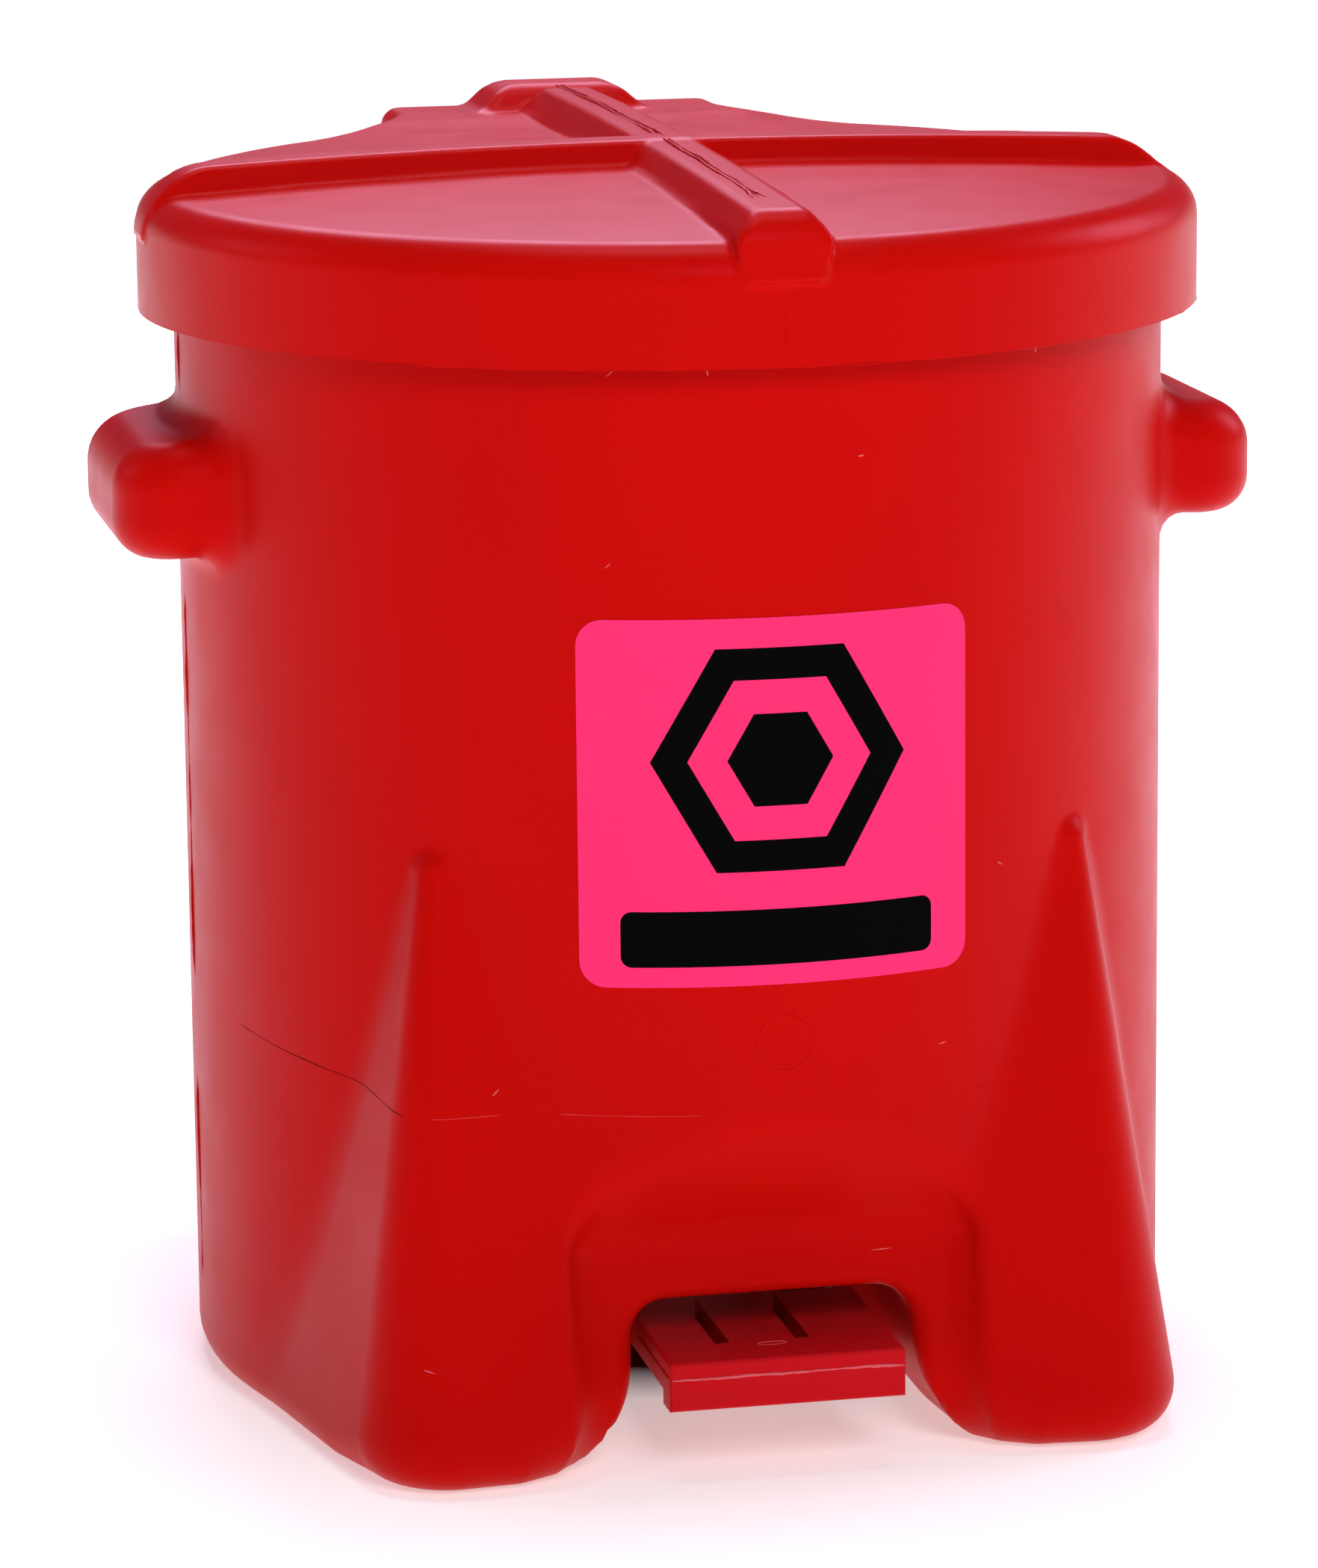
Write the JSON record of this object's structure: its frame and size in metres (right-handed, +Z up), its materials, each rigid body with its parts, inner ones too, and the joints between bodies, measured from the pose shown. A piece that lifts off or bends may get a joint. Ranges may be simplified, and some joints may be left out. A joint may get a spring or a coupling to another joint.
{
  "type": "pedal waste bin",
  "caption": "Round red pedal waste bin with a domed hinged lid, side grips, front foot pedal and a rear lift rod that opens the lid.",
  "frame": {"origin": "middle of the bin's footprint box, on the floor", "axes": "+Z up, -Y out of the pedal side, +X to the right when facing the pedal"},
  "size_m": [0.428, 0.433, 0.46],
  "materials": {
    "tub_plastic": "satin blow-moulded polyethylene",
    "lid_plastic": "satin moulded polyethylene",
    "pedal_plastic": "satin moulded plastic",
    "label_vinyl": "gloss printed vinyl",
    "bright_steel": "drawn wire",
    "zinc_steel": "zinc plated sheet",
    "guide_plastic": "moulded nylon",
    "bush_plastic": "moulded acetal"
  },
  "bodies": {
    "bin": {"tub_base": "tub_plastic", "tub_upper": "tub_plastic", "front_label": "label_vinyl", "lid_hinge_pin": "bright_steel", "lid_hinge_washers": "bright_steel", "lid_hinge_push_nuts": "bright_steel", "lift_rod_guide": "guide_plastic", "lift_rod_guide_screws": "bright_steel", "pedal_pivot_bracket": "zinc_steel", "pedal_pivot_pin": "bright_steel", "pedal_pivot_push_nuts": "bright_steel", "pedal_bracket_screws": "zinc_steel", "pedal_bracket_washers": "zinc_steel", "pedal_bracket_nuts": "zinc_steel"},
    "lid": {"lid": "lid_plastic", "lid_lift_bracket": "zinc_steel", "lid_bracket_screws": "bright_steel"},
    "rod": {"lift_rod": "bright_steel", "lift_rod_top_push_nut": "bright_steel", "lift_rod_bottom_push_nut": "bright_steel"},
    "pedal": {"pedal_lever": "pedal_plastic", "pedal_pivot_bushes": "bush_plastic"}
  },
  "joints": [
    {"name": "lid_hinge", "type": "hinge", "parent": "bin", "child": "lid", "pos_m": [0, 0.1985, 0.415], "axis": [-1, 0, 0], "range_deg": [0, 60]},
    {"name": "pedal_pivot", "type": "hinge", "parent": "bin", "child": "pedal", "pos_m": [0, -0.0235, 0.0325], "axis": [1, 0, 0], "range_deg": [0, 6.54]},
    {"name": "lift_rod_slide", "type": "slide", "parent": "bin", "child": "rod", "axis": [0, 0, 1], "range_m": [0, 0.0231]}
  ],
  "couplings": [
    {"joint": "pedal_pivot", "follows": "lid_hinge", "ratio": 0.10905},
    {"joint": "lift_rod_slide", "follows": "lid_hinge", "m_per_rad": 0.022053}
  ]
}
